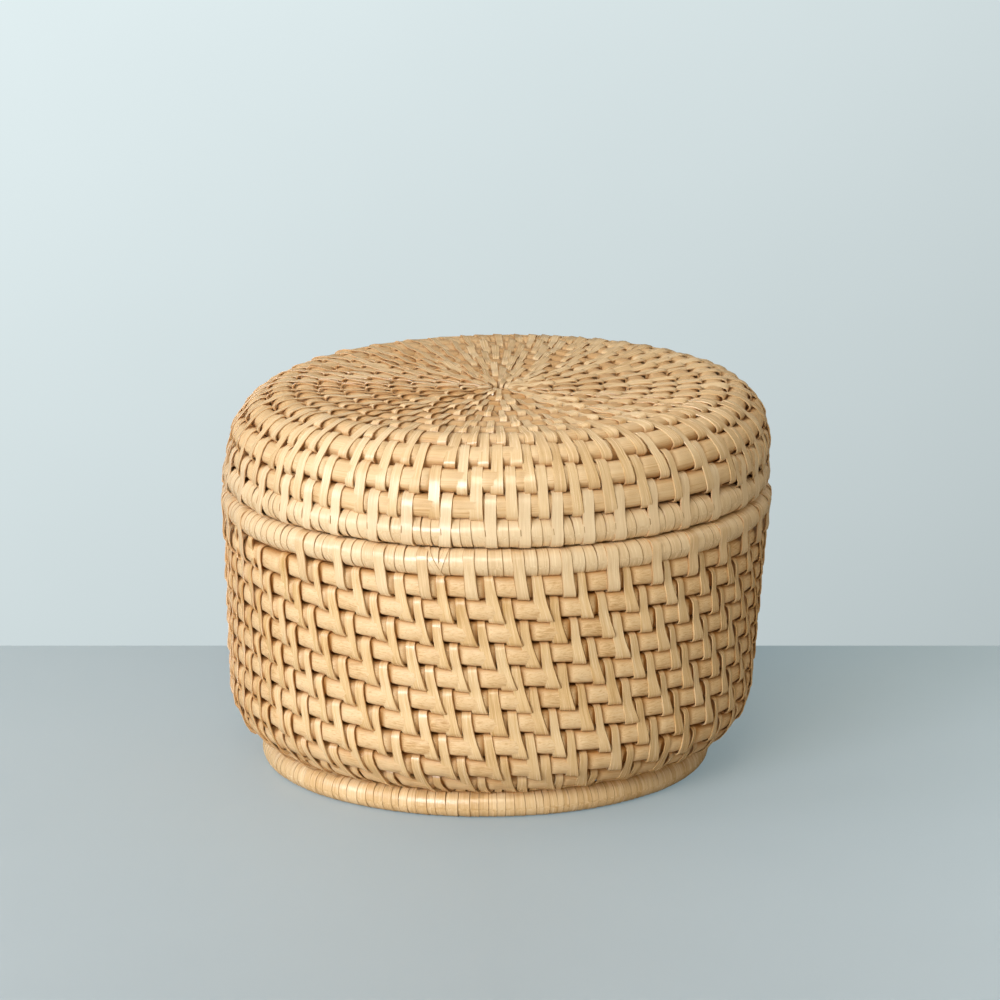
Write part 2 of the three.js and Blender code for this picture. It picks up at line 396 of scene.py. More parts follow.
def caneTree():
    tree = ShapeTree("coilCane", ("Profile", "Grooves"), (
        "Full turns", "Sunk", "Slope", "Pinch", "Wedge", "Rising", "Outward", "Gap shade", "Shade right",
        "Eye", "Pitch", "Cane", "Start angle", "Hand", "Square", "Square at eye", "Flat end", "Fill",
    ), ("Sides", "Steps"))
    tube = tree.add("GeometryNodeMeshCylinder", {
        "Vertices": tree.given("Sides"), "Side Segments": tree.given("Steps"), "Radius": 1.0, "Depth": 1.0,
    }, fill_type="NGON")
    acrossUnit, alongUnit, progress = tree.split(tree.place())
    ring = tree.maths("ROUND", (progress + 0.5) * tree.given("Steps"))
    groove = tree.maths("FLOOR", ring / ringsBetween)
    past = ring / ringsBetween - groove

    def grooveAt(index):
        given = {"Geometry": tree.shapeOf("Grooves"), "Value": tree.place(), "Index": index}
        node = tree.add("GeometryNodeSampleIndex", given, data_type="FLOAT_VECTOR", domain="POINT")
        return tree.split(tree.out(node, "Value"))[0]

    share = past - tree.sine(past * math.tau) * (gathered / math.tau)
    turns = tree.blend(grooveAt(groove), grooveAt(groove + 1.0), share)
    shaved = tree.atLeast(turns - tree.given("Full turns"))
    pitch = tree.given("Pitch")
    length = tree.given("Eye") + pitch * (turns - shaved / 2.0)
    half = (tree.given("Cane") + tree.given("Fill") - pitch * shaved) / 2.0
    radius, height, aheadX, aheadZ = tree.onProfile(length)

    onWall = tree.maths("MINIMUM", (length / tree.given("Flat end")) ** 4.0, 1.0)
    square = tree.blend(tree.given("Square at eye"), tree.given("Square"), onWall)

    def squared(value):
        return tree.maths("SIGN", value) * tree.maths("ABSOLUTE", value) ** square

    aside = 0.5 + (share - 0.5) * tree.given("Rising")  # from one groove to the next, to the right
    upwards = (alongUnit * tree.given("Outward") + 1.0) / 2.0

    def near(distance, reach):
        return 1.0 - tree.within((distance - reach) * grooveEdge)

    wedge = tree.given("Wedge") * upwards * upwards  # opens upwards, before the next groove
    inGroove = tree.maths("MAXIMUM", near(aside, grooveReach), near(1.0 - aside, wedge + grooveReach))
    relief = tree.given("Slope") * (aside - 0.5) * (1.0 - inGroove) - tree.given("Sunk") * inGroove
    faceOut = tree.atLeast(acrossUnit * tree.given("Outward"))
    lowerSide = tree.atLeast(alongUnit * -tree.given("Outward"))
    facing = tree.within(acrossUnit * tree.given("Outward") * 3.0)
    free = tree.within((height - pinchFrom[0]) / (pinchFrom[1] - pinchFrom[0]))
    pinch = tree.given("Pinch") * (1.0 - aside) ** 2.0 * onWall * facing * free
    across = squared(acrossUnit) * (half + relief * faceOut)
    along = squared(alongUnit) * (half - pinch * lowerSide)
    radius = radius + across * aheadZ + along * aheadX
    height = height - across * aheadX + along * aheadZ
    angle = tree.given("Start angle") + tree.given("Hand") * math.tau * (turns - tree.given("Full turns"))
    around = tree.maths("ARCTAN2", alongUnit, acrossUnit) * (half / mm)
    # Painted shade on the cane: darker towards its sides, where it meets the next course, and in the
    # grooves under the stitches, more so towards the right of the object, where less light falls, and over
    # the flat of the coil
    moreShadeRight = tree.given("Shade right") * tree.atLeast(tree.cosine(angle)) ** 1.5
    gapShade = tree.given("Gap shade") * (1.0 + moreShadeRight)
    deep = tree.maths("MAXIMUM", tree.maths("ABSOLUTE", alongUnit) ** 3.0, inGroove) * gapShade
    deep = tree.maths("MAXIMUM", deep, (1.0 - onWall) * flatShade)
    shapes = tree.marked(tube.outputs["Mesh"], (around, turns * math.tau * radius / mm, 0.0), deep=deep)
    tree.end(tree.moved(shapes, tree.round(radius, angle, height)))
    return tree


hoopSteps = 180
hoopSides = 12


def hoopTree():
    tree = ShapeTree("hoopCane", (), ("Radius", "Level", "Cane"))
    path, section = (
        tree.add("GeometryNodeCurvePrimitiveCircle", {"Resolution": steps, "Radius": reach}).outputs[0]
        for steps, reach in ((hoopSteps, tree.given("Radius")), (hoopSides, tree.given("Cane") / 2.0))
    )
    sweep = tree.add("GeometryNodeCurveToMesh", {"Curve": path, "Profile Curve": section})
    x, y, z = tree.split(tree.place())
    radius = (x * x + y * y) ** 0.5
    angle = tree.maths("ARCTAN2", y, x)
    # The hoop's cane, which shows only between its wraps, is given even painted shade
    shapes = tree.marked(sweep.outputs[0], (z / mm, angle * radius / mm, 0.0), deep=0.5)
    tree.end(tree.moved(shapes, tree.round(radius, angle, z + tree.given("Level"))))
    return tree


# Materials
def newMaterial(name):
    material = bpy.data.materials.new(name)
    material.use_nodes = True
    tree = Tree(material.node_tree)
    tree.nodeTree.nodes.clear()
    shader = tree.add("ShaderNodeBsdfPrincipled")
    tree.nodeTree.links.new(shader.outputs[0], tree.add("ShaderNodeOutputMaterial").inputs[0])
    return material, tree, shader


def attribute(tree, name, part="Fac"):
    node = tree.add("ShaderNodeAttribute", attribute_name=name)
    return tree.out(node, part)


# Where a streaky pattern is read: scaled across and along, and a different one for each number
def streaks(tree, across, along, number, scales):
    return tree.vector(across * scales[0], along * scales[1], number)


def addRelief(tree, shader, height, strength, distance):
    bump = tree.add("ShaderNodeBump", {"Strength": strength, "Distance": distance, "Height": height})
    tree.feed(shader.inputs["Normal"], bump.outputs[0])


peelLook = {
    "pale": (0.92, 0.71, 0.44),
    "mid": (0.83, 0.58, 0.30),
    "deepTan": (0.62, 0.36, 0.12),
    # colour of the painted shade at the ends and edges of strips
    "shade": (0.42, 0.17, 0.035),
    # the paler colour that stands in for sheen, as painted light
    "fresh": (0.94, 0.78, 0.55),
    "rough": 0.22,
    "gloss": 0.85,
    "fibre": (2.2, 0.08),  # across and along the strip, per mm
    "band": (0.7, 0.06),
    "patch": 26.0,
    "edgeShade": 0.62,
    "relief": 0.15 * mm,
}
caneLook = {
    "pale": (0.91, 0.69, 0.42),
    "mid": (0.83, 0.58, 0.31),
    "pore": (0.56, 0.30, 0.10),
    # colours of the painted shade in the cane's gaps and grooves
    "shade": (0.50, 0.23, 0.055),
    "dark": (0.38, 0.17, 0.05),
    "rough": 0.45,
    "fibre": (1.9, 0.05),
    "pores": (3.2, 0.12),
    "poreShare": 0.42,
    "patch": 60.0,
    "relief": 0.2 * mm,
}


def peelMaterial():
    material, tree, shader = newMaterial("peel")
    across, along, number = tree.split(attribute(tree, "strand", "Vector"))
    fibre = tree.noise(streaks(tree, across, along, number, peelLook["fibre"]), 1.0, 3.0, 0.65)
    band = tree.noise(streaks(tree, across, along, number, peelLook["band"]), 1.0, 1.0)
    own = tree.out(tree.add("ShaderNodeTexWhiteNoise", {"W": number}, noise_dimensions="1D"), "Value")
    patch = tree.noise(tree.out(tree.add("ShaderNodeTexCoord"), "Object"), peelLook["patch"], 2.0)
    tone = own * 0.28 + fibre * 0.75 + band * 0.45 + patch * 0.5 - 0.5
    colour = tree.ramp(tone, (0.18, peelLook["deepTan"]), (0.5, peelLook["mid"]), (0.85, peelLook["pale"]))
    # Painted sheen: a piece's peel is mixed towards a paler cream that stands in for the sheen on it
    colour = tree.mix(attribute(tree, "fresh"), colour, (*peelLook["fresh"], 1))
    # Painted shade: darker where a strip dives in at its ends, along its right edge, which stands up and
    # throws shade, and along its left edge as well where the strip is marked crisp
    deep = attribute(tree, "deep")
    edge = attribute(tree, "edge")
    edge = tree.maths("MAXIMUM", edge, -edge * attribute(tree, "crisp"))
    edge = tree.ramp(edge, (0.8, (0, 0, 0)), (0.96, (1, 1, 1)))
    dark = tree.maths("MAXIMUM", deep, edge * peelLook["edgeShade"])
    colour = tree.mix(tree.maths("MINIMUM", dark, 1.0), colour, (*peelLook["shade"], 1))
    tree.feed(shader.inputs["Base Color"], colour)
    tree.feed(shader.inputs["Roughness"], fibre * 0.22 + peelLook["rough"] - 0.08)
    shader.inputs["Specular IOR Level"].default_value = peelLook["gloss"]
    addRelief(tree, shader, fibre, 0.35, peelLook["relief"])
    return material


def caneMaterial():
    material, tree, shader = newMaterial("caneCore")
    across, along, _ = tree.split(attribute(tree, "strand", "Vector"))
    fibre = tree.noise(streaks(tree, across, along, 0.0, caneLook["fibre"]), 1.0, 4.0, 0.7)
    pores = tree.noise(streaks(tree, across, along, 3.0, caneLook["pores"]), 1.0, 2.0, 0.5)
    patch = tree.noise(tree.out(tree.add("ShaderNodeTexCoord"), "Object"), caneLook["patch"], 2.0)
    tone = fibre + patch * 0.6 - 0.3
    colour = tree.ramp(tone, (0.2, caneLook["pore"]), (0.45, caneLook["mid"]), (0.75, caneLook["pale"]))
    line = tree.ramp(pores, (0.34, (1, 1, 1)), (0.44, (0, 0, 0)))
    colour = tree.mix(line * caneLook["poreShare"], colour, (*caneLook["pore"], 1))
    # Painted shade in the cane's gaps and grooves: brown at first, darker where deepest
    deep = attribute(tree, "deep")
    shade = tree.ramp(deep, (0.6, caneLook["shade"]), (1.0, caneLook["dark"]))
    colour = tree.mix(tree.maths("MINIMUM", deep * 1.5, 1.0), colour, shade)
    tree.feed(shader.inputs["Base Color"], colour)
    shader.inputs["Roughness"].default_value = caneLook["rough"]
    addRelief(tree, shader, fibre + pores * 0.5, 0.6, caneLook["relief"])
    return material


peelFinish = peelMaterial()
caneFinish = caneMaterial()
print("materials made")


# Sizes read from the frame: a winding's middle radius and height, and how thick it is to each side
def hoopAt(node):
    low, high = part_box(node)
    out = (high[2] - low[2]) / 2
    return {"radius": high[0] - out, "level": (high[2] + low[2]) / 2, "out": out}


rim = hoopAt("rim_winding")
foot = hoopAt("foot_winding")
lidRim = hoopAt("lid_rim_winding")
seatUpper = hoopAt("seat_upper_winding")
seatLower = hoopAt("seat_lower_winding")
bedded = 0.7 * mm  # how far the last course is drawn into the winding of its hoop

# What both coils share. A pair such as shiftFlat and rowShift, or bluntFlat and blunt, is the value on
# the flat and on the wall, and a key with Right adds to another towards the right of the object.
anyCoil = {
    "between": 0.8 * mm,  # left free between courses, for the stitches
    "fill": 0.5 * mm,  # how much of that the cane takes up after all
    "shiftFlat": 0.42, "asideRound": 0.0, "asideRight": 0.0, "buriedFlat": 0.0, "wallWidth": 1.0,
    # how much painted shade lies along a stitch's left edge as well as its right, on the flat and on the
    # wall
    "crispFlat": 1.0, "squareFlat": 0.8, "riseRight": 0.35 * mm,
    "tip": 0.0, "eyeAside": 0.0, "eyeAhead": 0.0,
}
boxCoil = {
    **anyCoil, "cane": 7.7 * mm, "eye": 5.2 * mm, "flat": 73.0 * mm, "corner": 19.6 * mm,
    "startAngle": math.radians(300), "hand": 1, "outward": 1, "upperIsFar": True, "flatShare": 0.46,
    # stitches: how many on the widest course, how they follow on, and their shape
    "columns": 41.0, "crowding": 0.62, "rowShift": 0.445,
    "widthUpper": 3.4 * mm, "widthLower": 6.1 * mm, "aside": 3.7 * mm, "asideFlat": 0.0, "sweep": 0.5,
    "roll": 0.25 * mm, "rollFlat": 0.5 * mm, "rollRight": -1.0 * mm, "buried": 0.75 * mm,
    "flatWidth": 0.85, "slimRight": 0.2, "crisp": 0.0, "blunt": 3.2, "bluntFlat": 4.5,
    "tilt": 1.15 * mm, "dip": 0.3 * mm, "sinkUpper": 0.7 * mm, "sinkLower": 0.2 * mm,
    # how much paler the peel of stitches and ties is painted, standing in for sheen
    "fresh": 0.0, "tiesPaintedSheen": 0.3,
    # the cane between them, how dark the painted shade in its gaps is, and how much more of it lies on the
    # right
    "square": 0.68, "sunk": 1.7 * mm, "slope": 0.9 * mm, "pinch": 1.5 * mm, "wedge": 0.08,
    "gapShade": 0.6, "shadeRight": 0.5,
    "lean": 0.03, "seed": 11,
}
lidCoil = {
    **anyCoil, "cane": 8.0 * mm, "eye": 5.8 * mm,
    "shoulderIn": 22.0 * mm, "shoulderUp": 20.5 * mm, "shoulderRoundShare": 0.83,
    "startAngle": math.radians(240), "hand": -1, "outward": -1, "upperIsFar": False, "flatShare": 0.78,
    "columns": 45.0, "crowding": 0.85, "rowShift": 0.455,
    "widthUpper": 3.9 * mm, "widthLower": 4.9 * mm, "aside": 2.7 * mm, "asideFlat": 0.2 * mm,
    "asideRound": 2.2 * mm, "asideRight": 1.3 * mm, "sweep": 0.2,
    "roll": 0.2 * mm, "rollFlat": 0.8 * mm, "rollRight": -0.5 * mm, "buried": 0.3 * mm,
    "flatWidth": 0.68, "slimRight": 0.24, "crisp": 0.4, "blunt": 3.0, "bluntFlat": 6.5,
    "tilt": 0.6 * mm, "dip": 0.45 * mm, "sinkUpper": 0.6 * mm, "sinkLower": 0.15 * mm,
    # how much paler the peel of stitches and ties is painted, standing in for sheen
    "fresh": 0.15, "tiesPaintedSheen": 0.5,
    # the cane, and the painted shade in its gaps
    "square": 0.7, "sunk": 1.0 * mm, "slope": 0.4 * mm, "pinch": 0.3 * mm, "wedge": 0.05,
    "gapShade": 0.36, "shadeRight": 0.6,
    "lean": 0.09, "tip": 0.24, "eyeAside": -1.7 * mm, "eyeAhead": 5.0 * mm, "seed": 23,
}


flatPoints = 40
bendPoints = 48
pastRim = 2 * mm  # the path goes on beyond the rim, for the ties


def flatPath(corner, level):
    return [Vector((corner.x * i / flatPoints, level)) for i in range(flatPoints)]


# The centre line of the box's courses, from the axis out, and how long it is up to the rim
def boxPath():
    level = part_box("box_coil")[0][2] + boxCoil["cane"] / 2
    corner = Vector((boxCoil["flat"], level + boxCoil["corner"]))
    top = Vector((rim["radius"], rim["level"]))
    toTop = top - corner
    lean = math.atan2(toTop.y, toTop.x) - math.acos(boxCoil["corner"] / toTop.length)
    wall = Vector((-math.sin(lean), math.cos(lean)))
    points = flatPath(corner, level)
    for i in range(bendPoints + 1):
        angle = -math.pi / 2 + (lean + math.pi / 2) * i / bendPoints
        points.append(corner + boxCoil["corner"] * Vector((math.cos(angle), math.sin(angle))))
    points.append(top - wall * (rim["out"] - bedded))
    length = pathLength(points)
    points.append(top + wall * (rim["out"] + pastRim))
    return points, length


# The same for the lid, from the middle of the crown down to its rim
def lidPath():
    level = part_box("lid_coil")[1][2] - lidCoil["cane"] / 2
    reach, drop = lidCoil["shoulderIn"], lidCoil["shoulderUp"]
    corner = Vector((lidRim["radius"] - reach, level - drop))
    points = flatPath(corner, level)
    for i in range(bendPoints + 1):
        turn = math.pi / 2 * i / bendPoints
        out = math.sin(turn) ** lidCoil["shoulderRoundShare"]
        up = max(math.cos(turn), 0) ** lidCoil["shoulderRoundShare"]
        points.append(corner + Vector((reach * out, drop * up)))
    points.append(Vector((lidRim["radius"], lidRim["level"] + lidRim["out"] - bedded)))
    length = pathLength(points)
    points.append(Vector((lidRim["radius"], lidRim["level"] - lidRim["out"] - pastRim)))
    return points, length


def pathLength(points):
    return sum((b - a).length for a, b in zip(points, points[1:]))


def pathObject(name, points):
    curve = bpy.data.curves.new(name, "CURVE")
    curve.dimensions = "3D"
    spline = curve.splines.new("POLY")
    spline.points.add(len(points) - 1)
    for point, place in zip(spline.points, points):
        point.co = (place.x, 0, place.y, 1)
    return hiddenObject(name, curve)


# A coil's plan: where its courses lie along the profile, and where the stitches go
class Coil:
    def __init__(self, settings, points, length):
        self.settings = settings
        self.points = points
        self.length = length
        self.pitch = settings["cane"] + settings["between"]
        self.fullTurns = (length - settings["cane"] / 2 - settings["eye"]) / self.pitch
        self.turns = self.fullTurns + settings["cane"] * (1 - tipShare) / self.pitch
        self.flatEnd = length * settings["flatShare"]

    def middle(self, turns):
        shaved = max(turns - self.fullTurns, 0)
        return self.settings["eye"] + self.pitch * (turns - shaved / 2)

    def half(self, turns):
        shaved = max(turns - self.fullTurns, 0)
        return (self.settings["cane"] - self.pitch * shaved) / 2

    def angle(self, turns):
        return self.settings["startAngle"] + self.settings["hand"] * math.tau * (turns - self.fullTurns)

    def radius(self, along):
        for a, b in zip(self.points, self.points[1:]):
            step = (b - a).length
            if along <= step:
                return a.x + (b.x - a.x) * along / step
            along -= step
        return self.points[-1].x

    # How far a course is past the flat of the coil, from 0 to 1
    def pastFlat(self, turns, start, over):
        return min(max((self.middle(turns) / self.flatEnd - start) / over, 0), 1)

    # A setting that changes from the flat of the coil to its wall
    def fromFlat(self, flatKey, wallKey, turns):
        share = self.pastFlat(turns, **wallChange)
        share = share * share * (3 - 2 * share)
        return self.settings[flatKey] + (self.settings[wallKey] - self.settings[flatKey]) * share

    # How far to the right a stitch goes on its way down: a little more on the right of the lid
    def aside(self, turns):
        more = self.settings["asideRound"] * math.cos(self.angle(turns))
        more += self.settings["asideRight"] * self.toRight(turns)
        return self.fromFlat("asideFlat", "aside", turns) + more

    # From 0 at the middle of the front to 1 at the right, and nothing on the flat of the coil
    def toRight(self, turns):
        return max(math.cos(self.angle(turns)), 0) * self.pastFlat(turns, **rightChange)

    # How far apart the stitches of a course are, as a share of a turn: fewer of them near the eye
    def step(self, turns):
        radius = self.radius(self.middle(turns))
        widest = self.points[-1].x
        fewer = min(1, (radius / widest / fullFrom) ** self.settings["crowding"])
        return 1 / (self.settings["columns"] * fewer)

    # Each stitch stands beside one of the course before. One more comes in where the gap is wide, and
    # a part of the way towards even steps keeps them from drifting apart.
    def stitchTurns(self):
        made = [0.0]
        while made[-1] + self.step(made[-1]) < 1:
            made.append(made[-1] + self.step(made[-1]))
        parent = 0
        while made[-1] < self.turns:
            step = self.step(made[-1])
            shift = self.fromFlat("shiftFlat", "rowShift", made[-1])
            child = made[parent] + 1 - shift * step
            parent += 1
            if child - made[-1] > widestGap * step:
                made.append((child + made[-1]) / 2)
            evened = made[-1] + step
            made.append(max(child + (evened - child) * evening, made[-1] + leastGap * step))
        return [t for t in made if t < self.turns - 0.02]


tipShare = 0.14  # how thin the shaved end of a coil is left
eyeHole = 3.6 * mm  # the first turn's stitches end this far from the axis
fullFrom = 0.84  # share of the widest radius from which a course has all its stitches
wallChange = {"start": 0.7, "over": 0.5}  # where settings change, as shares of the length of the flat
rightChange = {"start": 0.8, "over": 0.4}
widestGap = 1.45  # in steps, and so is the least
leastGap = 0.4
evening = 0.2

boxPoints, boxLength = boxPath()
lidPoints, lidLength = lidPath()
boxPlan = Coil(boxCoil, boxPoints, boxLength)
lidPlan = Coil(lidCoil, lidPoints, lidLength)
boxProfile = pathObject("boxProfile", boxPoints)
lidProfile = pathObject("lidProfile", lidPoints)


hand = {"Wander": 0.9 * mm, "Wander scale": 30.0}


def handOf(settings, top):
    return {**hand, "Lean": settings["lean"], "Lean from": top, "Tip": settings["tip"],
            "Eye aside": settings["eyeAside"], "Eye ahead": settings["eyeAhead"]}


boxHand = handOf(boxCoil, rim["level"])
lidHand = handOf(lidCoil, lidRim["level"])


# The end of a stitch that is higher on the wall or the side goes by "upper", the other by "lower"
def endsOf(plan, near, far):
    return {"upper": far, "lower": near} if plan.settings["upperIsFar"] else {"upper": near, "lower": far}


def stitchRows(plan):
    settings = plan.settings
    dice = random.Random(settings["seed"])
    rows = []
    widest = plan.points[-1].x
    for turns in plan.stitchTurns():
        far = plan.middle(turns) + plan.half(turns) + settings["between"] / 2
        before = turns - 1
        near = plan.middle(before) - plan.half(before) - settings["between"] / 2
        near = max(near, eyeHole)
        radius = plan.radius(plan.middle(turns))
        share = min(1, (radius / widest / fullFrom) ** 0.12)
        width = share * dice.uniform(0.88, 1.12)
        width *= plan.fromFlat("flatWidth", "wallWidth", turns)
        toRight = plan.toRight(turns)
        width *= 1 - settings["slimRight"] * toRight
        onCane = settings["cane"] / 2 + settings["riseRight"] * toRight
        step = plan.step(turns) * math.tau
        rows.append({
            **endsOf(plan, near, far),
            "angle": plan.angle(turns) + dice.uniform(-0.04, 0.04) * step,
            "widthUpper": settings["widthUpper"] * width * dice.uniform(0.93, 1.07),
            "widthLower": settings["widthLower"] * width * dice.uniform(0.93, 1.07),
            "aside": plan.aside(turns) + dice.uniform(-0.7, 0.7) * mm,
            "sweep": settings["sweep"] + dice.uniform(-0.2, 0.3),
            "blunt": plan.fromFlat("bluntFlat", "blunt", turns) * dice.uniform(0.9, 1.15),
            "riseUpper": onCane + dice.uniform(-0.1, 0.15) * mm - settings["sinkUpper"],
            "riseLower": onCane + dice.uniform(-0.1, 0.15) * mm - settings["sinkLower"],
            "roll": plan.fromFlat("rollFlat", "roll", turns) * dice.uniform(-0.6, 1.0)
            + settings["rollRight"] * toRight,
            "buried": plan.fromFlat("buriedFlat", "buried", turns) * (1 - toRight),
            # painted shade along the left edge as well as the right, more of it on the flat
            "crisp": plan.fromFlat("crispFlat", "crisp", turns),
            "tone": dice.random(),
        })
    return rows


# Ties of a rim: long stitches that hold the hoop to the last course
# the ends of the ties get less painted shade than those of the stitches
tie = {"widthUpper": 4.5 * mm, "widthLower": 4.8 * mm, "taken": 3.5 * mm, "aside": 0.7, "blunt": 2.6,
       "sunk": 0.35, "stoutFrom": 0.3, "shadeAtEnds": 0.25}


def tieRows(plan, hoop):
    settings = plan.settings
    dice = random.Random(settings["seed"] + 1)
    rows = []
    for turns in plan.stitchTurns():
        if turns < plan.turns - 1:
            continue
        stout = plan.half(turns) > tie["stoutFrom"] * settings["cane"] / 2
        under = turns if stout else turns - 1  # the shaved end holds no tie
        near = plan.middle(under) - plan.half(under) - settings["between"] / 2
        far = plan.length - bedded + 2 * hoop["out"] - peel["thick"]
        ends = endsOf(plan, near, far)
        onHoop, onCane = hoop["out"] - peel["thick"] * tie["sunk"], settings["cane"] / 2
        shift = settings["hand"] * settings["rowShift"]
        rows.append({
            **ends,
            "angle": plan.angle(turns) - shift * plan.step(turns) * math.tau,
            "widthUpper": tie["widthUpper"] * dice.uniform(0.92, 1.08),
            "widthLower": tie["widthLower"] * dice.uniform(0.92, 1.08),
            "aside": settings["aside"] * tie["aside"] + dice.uniform(-0.6, 0.6) * mm,
            "sweep": settings["sweep"],
            "blunt": tie["blunt"],
            "riseUpper": onHoop if settings["upperIsFar"] else onCane - settings["sinkUpper"],
            "riseLower": onCane if settings["upperIsFar"] else onHoop,
            "roll": 0.0,
            "buried": 0.0,
            "crisp": 1.0,
            "tone": dice.random(),
            "groove": under,
        })
    return rows


# From 0 at the right of the object to 1 at its left
def leftward(angle):
    return (1 - math.cos(angle)) / 2


# Wraps that fill a hoop between its ties, or go all round it
def wrapRows(hoop, band, ties=(), splice=()):
    dice = random.Random(band["seed"])
    outer = hoop["radius"] + hoop["out"]
    angles = sorted((row["angle"] + band["tiesAside"] / outer) % math.tau for row in ties)
    taken = tie["taken"] / outer
    spans = []
    if angles:
        for a, b in zip(angles, angles[1:] + [angles[0] + math.tau]):
            spans.append((a + taken / 2, b - taken / 2))
    else:
        spans.append((0, math.tau))
    rows = []
    for start, stop in spans:
        count = max(1, round((stop - start) * outer / band["width"]))
        shares = [
            dice.uniform(0.7, 1.3) * (1 + band["wideLeft"] * leftward(start + (stop - start) * i / count))
            for i in range(count)
        ]
        at = start
        for share in shares:
            wide = (stop - start) * share / sum(shares)
            rows.append({
                "angle": at + wide / 2,
                "width": wide * outer * dice.uniform(0.97, 1.03),
                "proud": dice.uniform(-0.05, 0.05) * mm,
                "slant": band["slant"] * dice.uniform(0.5, 1.5),
                "tone": dice.random(),
                # the painted shade of the line between wraps, lighter on the left, where the light comes
                # from
                "lines": 1 - band["lessShadeLeft"] * leftward(at),
            })
            at += wide
    return rows + list(splice)


stitching = stitchTree()
wrapping = wrapTree()
caning = caneTree()
hooping = hoopTree()
print("trees made")


# Where along the coil, in turns, the upper halves of the stitches press grooves into it
def groovePoints(name, plan, ties):
    settings = plan.settings
    places = []
    for turns in plan.stitchTurns():
        course = turns if settings["upperIsFar"] else turns - 1
        quarter = plan.aside(turns) * 0.25 * (1 - settings["sweep"] * 0.75)
        around = math.tau * max(plan.radius(plan.middle(turns)), settings["eye"])
        places.append(course + settings["hand"] * quarter / around)
    if not settings["upperIsFar"]:
        places += [row["groove"] - settings["rowShift"] * plan.step(row["groove"]) for row in ties]
    inside = sorted(at for at in places if 0.03 < at < plan.turns - 0.01)
    stops = [0.0, *inside, plan.turns]
    return hiddenObject(name, newMesh(name, [(at, 0, 0) for at in stops])), len(stops) - 1


def makeCane(name, node, body, plan, profile, ties, handWork):
    settings = plan.settings
    grooves, count = groovePoints(name + "Grooves", plan, ties)
    piece = grow(name, caning, newMesh(name, []), {
        "Profile": profile, "Grooves": grooves, "Sides": caneSides, "Steps": count * ringsBetween,
        "Full turns": plan.fullTurns, "Sunk": settings["sunk"], "Slope": settings["slope"],
        "Pinch": settings["pinch"], "Wedge": settings["wedge"], "Rising": float(settings["hand"]),
        "Outward": float(settings["outward"]), "Gap shade": settings["gapShade"],
        "Shade right": settings["shadeRight"], "Eye": settings["eye"], "Pitch": plan.pitch,
        "Cane": settings["cane"], "Start angle": settings["startAngle"], "Hand": float(settings["hand"]),
        "Square": settings["square"], "Square at eye": settings["squareFlat"],
        "Flat end": plan.flatEnd, "Fill": settings["fill"], "Material": caneFinish, **handWork,
    })
    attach(piece, body)
    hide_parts(node)


def makeTies(name, body, rows, plan, profile, handWork):
    makeStitches(name, body, rows, plan, profile, handWork, "tiesPaintedSheen", tie["shadeAtEnds"])


def makeStitches(name, body, rows, plan, profile, handWork, fresh="fresh", shadeAtEnds=1.0):
    settings = plan.settings
    piece = grow(name, stitching, listMesh(name, rows), {
        "Profile": profile, "Strip": stitchStrip, "Outward": float(settings["outward"]),
        "Thick": peel["thick"], "Dip": settings["dip"], "Tilt": settings["tilt"],
        "Fresh": settings[fresh], "Dark ends": shadeAtEnds, "Material": peelFinish, **handWork,
    })
    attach(piece, body)


def makeHoop(name, node, body, hoop, cane, handWork):
    piece = grow(name, hooping, newMesh(name, []), {
        "Radius": hoop["radius"], "Level": hoop["level"], "Cane": cane, "Material": caneFinish, **handWork,
    })
    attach(piece, body)
    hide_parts(node)


def makeWraps(name, node, body, hoop, band, rows, handWork):
    piece = grow(name, wrapping, listMesh(name, rows), {
        "Strip": wrapStrip, "Radius": hoop["radius"], "Level": hoop["level"] + band["lifted"],
        "Rise": band["rise"], "Inside": hoop["out"] - peel["thick"], "Thick": peel["thick"],
        "Tilt": peel["wrapTilt"], "Fresh": band["fresh"], "Material": peelFinish, **handWork,
    })
    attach(piece, body)
    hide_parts(node)


# Each band's paler peel stands in for sheen, as painted light
plainBand = {"tiesAside": 0.0, "wideLeft": 0.0, "lessShadeLeft": 0.0, "lifted": 0.0, "rise": 0.0}

# Box: in the rim's winding a new peel begins at the splice, and the two ends cross over the wraps there.
# The foot ring's strips are wider on the left, the painted shade in the line between them is lighter on
# the left, where the light comes from, and its underside clears the floor.
rimBand = {**plainBand, "cane": 7.8 * mm, "width": 4.2 * mm, "slant": 0.5 * mm, "tiesAside": 0.3 * mm,
           "fresh": 0.4, "seed": 5}
rimSplice = [
    {"angle": math.radians(257.5), "width": 2.2 * mm, "proud": 0.2 * mm, "slant": 3.2 * mm, "tone": 0.5,
     "lines": 1.0},
    {"angle": math.radians(259), "width": 1.8 * mm, "proud": 0.15 * mm, "slant": -1.5 * mm, "tone": 0.9,
     "lines": 1.0},
]
footBand = {**plainBand, "cane": 6.6 * mm, "width": 3.1 * mm, "slant": 0.4 * mm, "wideLeft": 0.9,
            "lessShadeLeft": 0.13, "lifted": 0.15 * mm, "rise": 0.8 * mm, "fresh": 0.1, "seed": 6}
footHand = {**boxHand, "Lean": 0.042}

rimTies = tieRows(boxPlan, rim)
rimRows = wrapRows(rim, rimBand, rimTies, rimSplice)
makeCane("coiledBox", "box_coil", "box", boxPlan, boxProfile, rimTies, boxHand)
makeStitches("boxStitches", "box", stitchRows(boxPlan), boxPlan, boxProfile, boxHand)
makeTies("rimTies", "box", rimTies, boxPlan, boxProfile, boxHand)
makeHoop("rimHoop", "rim_hoop", "box", rim, rimBand["cane"], boxHand)
makeWraps("rimWraps", "rim_winding", "box", rim, rimBand, rimRows, boxHand)
makeHoop("footHoop", "foot_hoop", "box", foot, footBand["cane"], footHand)
makeWraps("footWraps", "foot_winding", "box", foot, footBand, wrapRows(foot, footBand), footHand)
print("box made")


